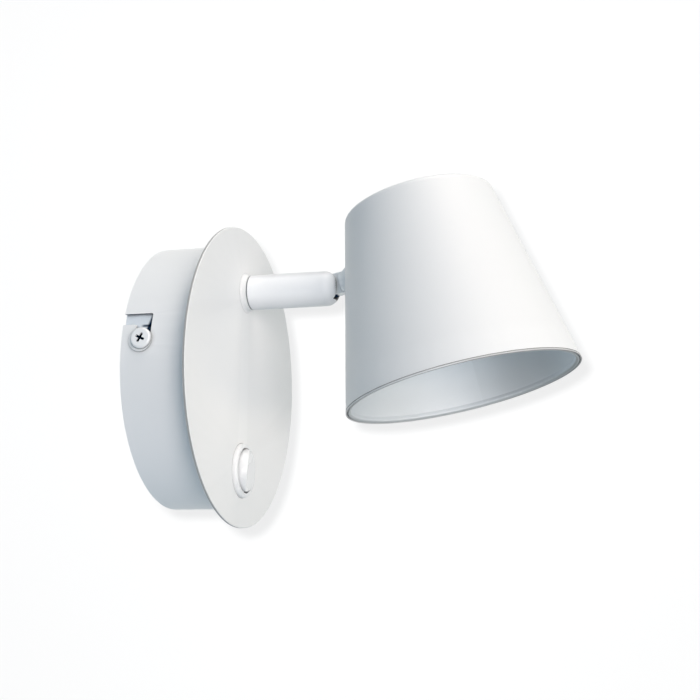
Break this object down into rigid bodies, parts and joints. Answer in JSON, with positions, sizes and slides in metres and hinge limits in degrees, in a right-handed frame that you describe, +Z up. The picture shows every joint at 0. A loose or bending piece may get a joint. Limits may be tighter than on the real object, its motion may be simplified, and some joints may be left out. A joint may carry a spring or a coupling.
{
  "type": "wall spotlight",
  "caption": "Wall light with a round base, rocker switch, turning arm and a conical shade that tilts on a knuckle.",
  "frame": {"origin": "on the wall plane, at the centre of the bracket's two wall screw holes and of the round base", "axes": "+Z up, -Y out from the wall along the arm, +X to the right as seen from the wall's front side"},
  "size_m": [0.12, 0.1628, 0.1332],
  "materials": {
    "white_lacquer": "smooth satin powder coat",
    "silver_lacquer": "fine silver lacquer",
    "galvanised": "galvanised sheet",
    "zinc_steel": "bright zinc",
    "white_plastic": "moulded, semi-gloss",
    "dull_plastic": "moulded, fine texture",
    "brass": "plain",
    "black_plastic": "smooth",
    "fibre": "pressed fibre",
    "frosted": "frosted, light passes",
    "reflector_white": "white moulded",
    "cast_aluminium": "plain cast",
    "board": "white solder mask on metal",
    "phosphor": "yellow light field"
  },
  "bodies": {
    "base": {"wall_bracket": "galvanised", "earth_screw": "zinc_steel", "side_washers": "white_lacquer", "side_screws": "white_lacquer", "wall_cup": "white_lacquer", "front_disc": "white_lacquer", "disc_nuts": "zinc_steel", "driver_case": "dull_plastic", "driver_cover": "dull_plastic", "driver_screws": "zinc_steel", "terminal_block": "dull_plastic", "terminal_sleeves": "brass", "terminal_screws": "zinc_steel", "block_screws": "zinc_steel", "switch_housing": "white_plastic", "switch_terminals": "brass", "arm_collar": "white_lacquer", "bearing_washer": "black_plastic", "fibre_washer": "fibre"},
    "arm": {"stop_washer": "galvanised", "spring_washer": "zinc_steel", "arm_nut": "zinc_steel", "arm_nipple": "zinc_steel", "arm_tube": "white_lacquer", "pivot_screw": "zinc_steel", "tilt_washers": "black_plastic"},
    "head": {"knuckle": "white_lacquer", "saddle_washer": "galvanised", "knuckle_nut": "zinc_steel", "shade_shell": "white_lacquer", "shade_liner": "silver_lacquer", "diffuser": "frosted", "diffuser_ring": "zinc_steel", "reflector": "reflector_white", "heat_sink": "cast_aluminium", "heat_sink_screw": "zinc_steel", "led_board": "board", "board_screws": "zinc_steel", "led_chip": "phosphor"},
    "rocker": {"switch_rocker": "white_plastic"}
  },
  "joints": [
    {"name": "arm_turn", "type": "hinge", "parent": "base", "child": "arm", "pos_m": [0, -0.029, 0.0345], "axis": [0, 1, 0], "range_deg": [-170, 170]},
    {"name": "shade_tilt", "type": "hinge", "parent": "arm", "child": "head", "pos_m": [0, -0.062, 0.0345], "axis": [-1, 0, 0], "range_deg": [-13.64, 76.36]},
    {"name": "rocker_press", "type": "hinge", "parent": "base", "child": "rocker", "pos_m": [0, -0.0298, -0.0375], "axis": [-0.2079, 0, -0.9781], "range_deg": [0, 21.2]}
  ]
}
